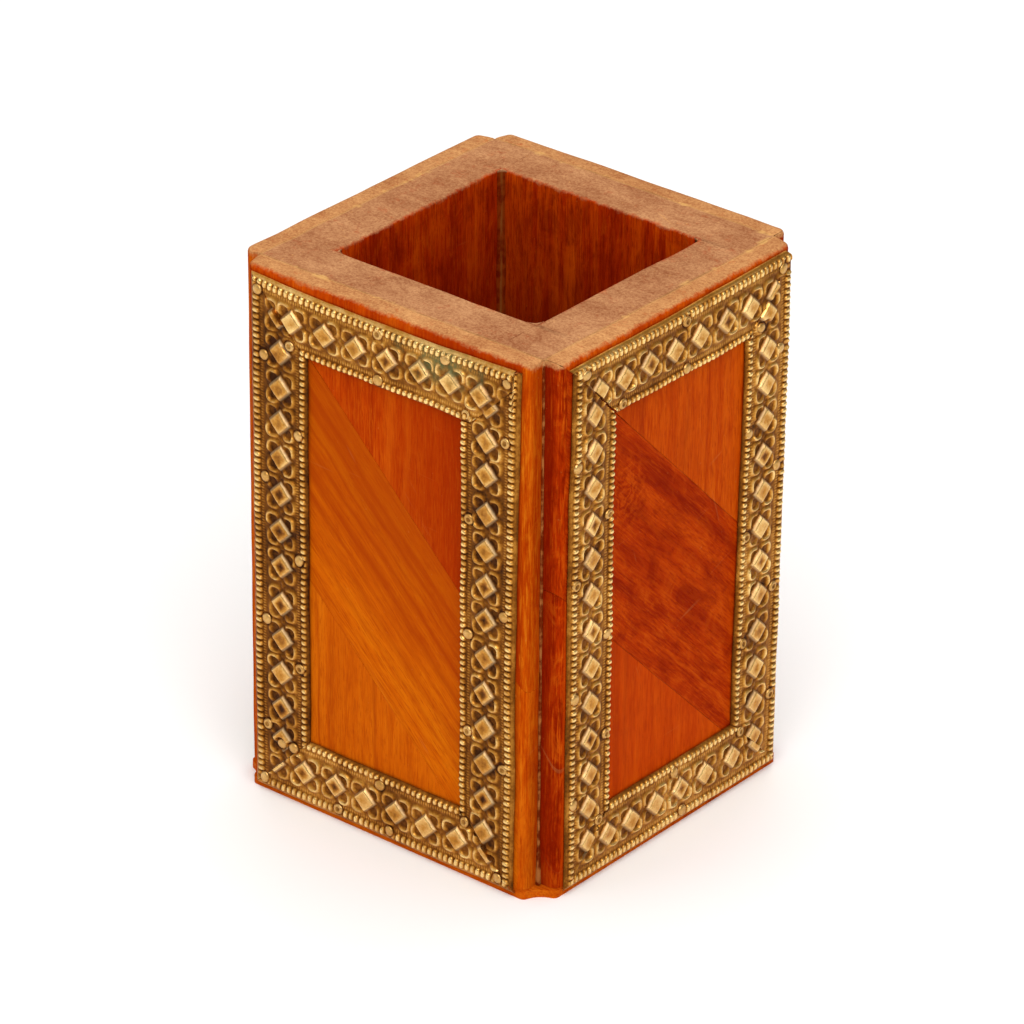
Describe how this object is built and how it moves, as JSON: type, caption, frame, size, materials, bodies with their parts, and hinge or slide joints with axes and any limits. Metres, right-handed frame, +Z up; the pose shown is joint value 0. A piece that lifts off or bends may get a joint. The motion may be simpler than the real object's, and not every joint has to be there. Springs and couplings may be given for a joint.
{
  "type": "pen stand",
  "caption": "Square wooden pen stand: a thick-walled open box dressed with diagonal-grain boards and framed on each side with nailed embossed brass strips.",
  "frame": {"origin": "middle of the underside of the base plate, at the surface that the pen stand rests on", "axes": "+Z up along the well, -Y out of the front side, +X out of the right side"},
  "size_m": [0.0724, 0.0724, 0.1016],
  "materials": {
    "core_wood": "worn varnish over end grain on the rim, dark red varnish in the well",
    "base_wood": "thin varnish",
    "board_wood": "orange-brown varnish over straight grain, satin gloss",
    "strip_brass": "embossed sheet, rubbed bright on the high points, brown patina in the hollows",
    "nail_brass": "rubbed bright"
  },
  "bodies": {
    "root": {"front_wall": "core_wood", "right_wall": "core_wood", "back_wall": "core_wood", "left_wall": "core_wood", "floor_board": "core_wood", "base_plate": "base_wood", "front_upper_board": "board_wood", "front_middle_board": "board_wood", "front_lower_board": "board_wood", "right_upper_board": "board_wood", "right_middle_board": "board_wood", "right_lower_board": "board_wood", "back_upper_board": "board_wood", "back_middle_board": "board_wood", "back_lower_board": "board_wood", "left_upper_board": "board_wood", "left_middle_board": "board_wood", "left_lower_board": "board_wood", "front_top_strip": "strip_brass", "front_foot_strip": "strip_brass", "front_left_strip": "strip_brass", "front_right_strip": "strip_brass", "right_top_strip": "strip_brass", "right_foot_strip": "strip_brass", "right_left_strip": "strip_brass", "right_right_strip": "strip_brass", "back_top_strip": "strip_brass", "back_foot_strip": "strip_brass", "back_left_strip": "strip_brass", "back_right_strip": "strip_brass", "left_top_strip": "strip_brass", "left_foot_strip": "strip_brass", "left_left_strip": "strip_brass", "left_right_strip": "strip_brass", "front_nail_top_left": "nail_brass", "front_nail_top_right": "nail_brass", "front_nail_mid_left": "nail_brass", "front_nail_mid_right": "nail_brass", "front_nail_low_left": "nail_brass", "front_nail_low_right": "nail_brass", "right_nail_top_left": "nail_brass", "right_nail_top_right": "nail_brass", "right_nail_mid_left": "nail_brass", "right_nail_mid_right": "nail_brass", "right_nail_low_left": "nail_brass", "right_nail_low_right": "nail_brass", "back_nail_top_left": "nail_brass", "back_nail_top_right": "nail_brass", "back_nail_mid_left": "nail_brass", "back_nail_mid_right": "nail_brass", "back_nail_low_left": "nail_brass", "back_nail_low_right": "nail_brass", "left_nail_top_left": "nail_brass", "left_nail_top_right": "nail_brass", "left_nail_mid_left": "nail_brass", "left_nail_mid_right": "nail_brass", "left_nail_low_left": "nail_brass", "left_nail_low_right": "nail_brass"}
  },
  "joints": []
}
